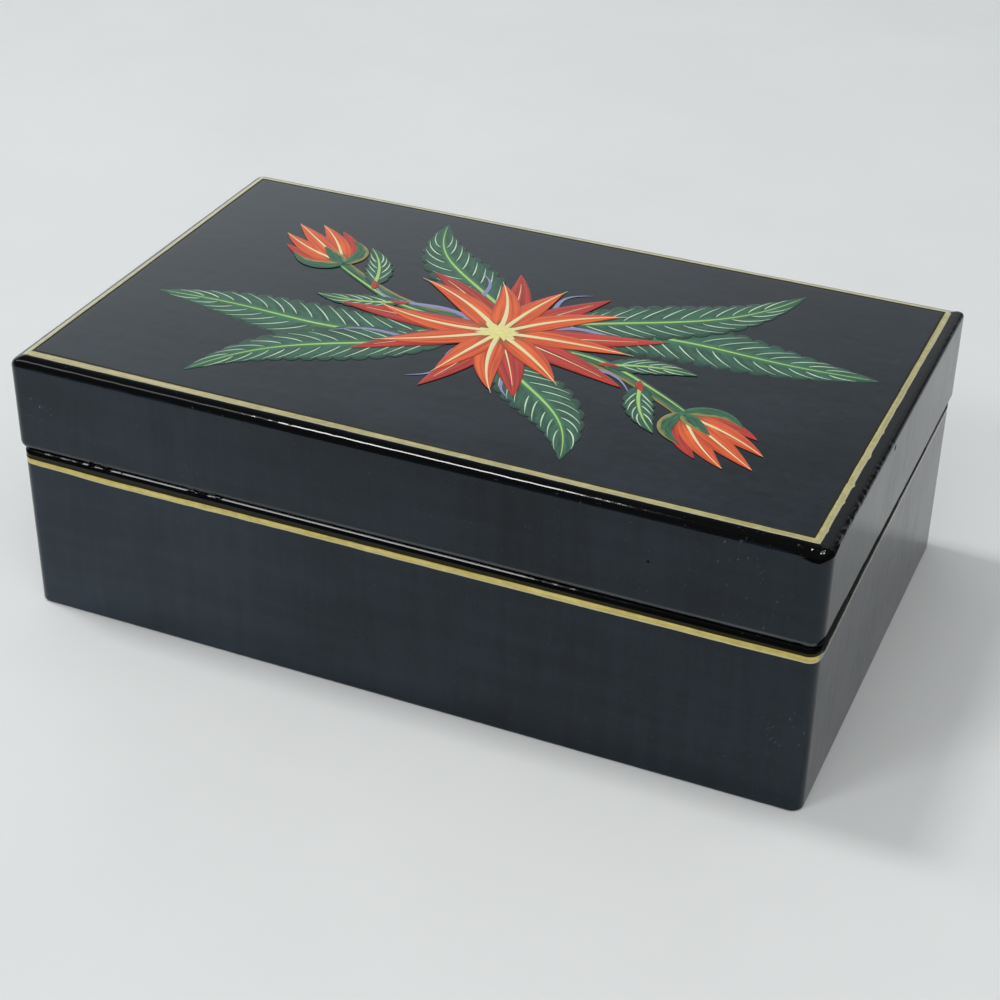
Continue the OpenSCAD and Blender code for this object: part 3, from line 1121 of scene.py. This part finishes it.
softbox("bead_lamp", (-0.36, 0.03, 0.93), 0.12, 0.18, 33.0)
low_lamp = softbox("low_bead_lamp", (-0.41, -0.67, 0.61), 0.25, 0.14, 15.0)
softbox("left_softbox", (-0.66, 0.05, 0.75), 0.14, 0.50, 3.0)
softbox("front_fill", (0.3, -0.8, 0.9), 0.95, 0.95, 1.60, fill=True)
softbox("top_fill", (0.25, 0.10, 1.0), 1.20, 1.20, 0.28, fill=True)

# The low lamp lights the bead of the base's rim, and is screened off from the lid's coat
screened = bpy.data.collections.new("screened_from_low_lamp")
screened.objects.link(lid_coat)
low_lamp.light_linking.receiver_collection = screened
screened.collection_objects[0].light_linking.link_state = "EXCLUDE"

world = bpy.data.worlds.new("soft_sky")
bpy.context.scene.world = world
world.use_nodes = True
tree = world.node_tree
tree.nodes.clear()
sky = tree.nodes.new("ShaderNodeBackground")
output = tree.nodes.new("ShaderNodeOutputWorld")
tree.links.new(sky.outputs["Background"], output.inputs["Surface"])
direction = tree.nodes.new("ShaderNodeTexCoord")
parts = tree.nodes.new("ShaderNodeSeparateXYZ")
tree.links.new(direction.outputs["Generated"], parts.inputs["Vector"])
climb = spread(tree, parts.outputs["Z"], 0.20, 0.32)
front = spread(tree, parts.outputs["Y"], -0.20, -0.50)
horizon = blended(tree, front, (0.71, 0.73, 0.73), (0.10, 0.105, 0.11))
pale_low = blended(tree, climb, horizon, (0.125, 0.13, 0.135))
window = spread(tree, parts.outputs["Z"], 0.40, 0.66, 1.0, 0.0)
window = sums(tree, "MULTIPLY", window, spread(tree, parts.outputs["X"], -0.55, -0.10, 1.0, 0.48))
window = sums(tree, "MULTIPLY", window, spread(tree, parts.outputs["X"], 0.00, 0.25, 1.0, 0.0))
window = sums(tree, "MULTIPLY", window, spread(tree, parts.outputs["Y"], 0.20, 0.50))
tree.links.new(blended(tree, window, pale_low, (1.24, 1.33, 1.39)), sky.inputs["Color"])

camera_data = bpy.data.cameras.new("camera")
camera_data.sensor_width = 36.0
camera_data.lens = 74.48
camera = bpy.data.objects.new("camera", camera_data)
CAMERA_PLACE = (0.17472, -0.40846, 0.30174)
CAMERA_PAN, CAMERA_TILT, CAMERA_ROLL = 23.062, 32.233, 0.909
camera.matrix_world = (
    Matrix.Translation(CAMERA_PLACE)
    @ Matrix.Rotation(math.radians(CAMERA_PAN), 4, "Z")
    @ Matrix.Rotation(math.radians(90 - CAMERA_TILT), 4, "X")
    @ Matrix.Rotation(math.radians(CAMERA_ROLL), 4, "Z")
)
bpy.context.scene.collection.objects.link(camera)
bpy.context.scene.camera = camera
bpy.context.scene.view_settings.view_transform = "Standard"
